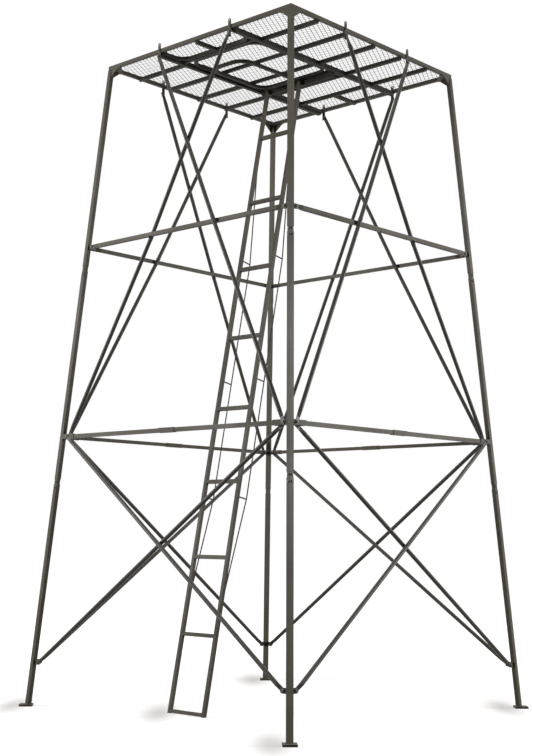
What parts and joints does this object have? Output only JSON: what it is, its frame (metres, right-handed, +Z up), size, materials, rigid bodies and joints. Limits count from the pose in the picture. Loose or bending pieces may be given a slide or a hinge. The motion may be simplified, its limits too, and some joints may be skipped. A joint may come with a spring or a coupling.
{
  "type": "hunting tower stand",
  "caption": "Free-standing steel hunting tower: braced square-tube legs, a mesh deck with a hinged hatch, and a leaning ladder inside, for a blind to stand on.",
  "frame": {"origin": "middle of the tower's base, on the ground under the deck's centre", "axes": "+Z up, X along the ladder rungs, +Y from the front towards the back, the way the ladder leans"},
  "size_m": [2.0466, 2.0466, 3.6915],
  "materials": {
    "frame_paint": "satin",
    "mesh_paint": "satin"
  },
  "bodies": {
    "tower": {"leg_front_right_lower": "frame_paint", "leg_back_right_lower": "frame_paint", "leg_back_left_lower": "frame_paint", "leg_front_left_lower": "frame_paint", "leg_front_right_middle": "frame_paint", "leg_back_right_middle": "frame_paint", "leg_back_left_middle": "frame_paint", "leg_front_left_middle": "frame_paint", "leg_front_right_upper": "frame_paint", "leg_back_right_upper": "frame_paint", "leg_back_left_upper": "frame_paint", "leg_front_left_upper": "frame_paint", "lower_girt_front": "frame_paint", "lower_girt_right": "frame_paint", "lower_girt_back": "frame_paint", "lower_girt_left": "frame_paint", "upper_girt_front": "frame_paint", "upper_girt_right": "frame_paint", "upper_girt_back": "frame_paint", "upper_girt_left": "frame_paint", "lower_braces_front": "frame_paint", "lower_braces_right": "frame_paint", "lower_braces_back": "frame_paint", "lower_braces_left": "frame_paint", "upper_braces_front": "frame_paint", "upper_braces_right": "frame_paint", "upper_braces_back": "frame_paint", "upper_braces_left": "frame_paint", "deck_rail_front": "frame_paint", "deck_rail_right": "frame_paint", "deck_rail_back": "frame_paint", "deck_rail_left": "frame_paint", "deck_beam_left": "frame_paint", "deck_beam_right": "frame_paint", "side_joists_left": "frame_paint", "side_joists_right": "frame_paint", "front_panel_frame": "frame_paint", "back_panel_frame": "frame_paint", "corner_brackets": "frame_paint", "hook_straps": "frame_paint", "deck_mesh_left": "mesh_paint", "deck_mesh_right": "mesh_paint", "deck_mesh_front": "mesh_paint", "deck_mesh_back": "mesh_paint", "hatch_hinges": "frame_paint", "ladder_stile_left": "frame_paint", "ladder_stile_right": "frame_paint", "ladder_rungs": "frame_paint", "ladder_truss_left": "frame_paint", "ladder_truss_right": "frame_paint"},
    "hatch": {"hatch_frame": "frame_paint", "hatch_mesh": "mesh_paint", "hatch_loop": "frame_paint"}
  },
  "joints": [
    {"name": "hatch_hinge", "type": "hinge", "parent": "tower", "child": "hatch", "pos_m": [-0.274, -0.185, 3.654], "axis": [0, -1, 0], "range_deg": [0, 105]}
  ]
}
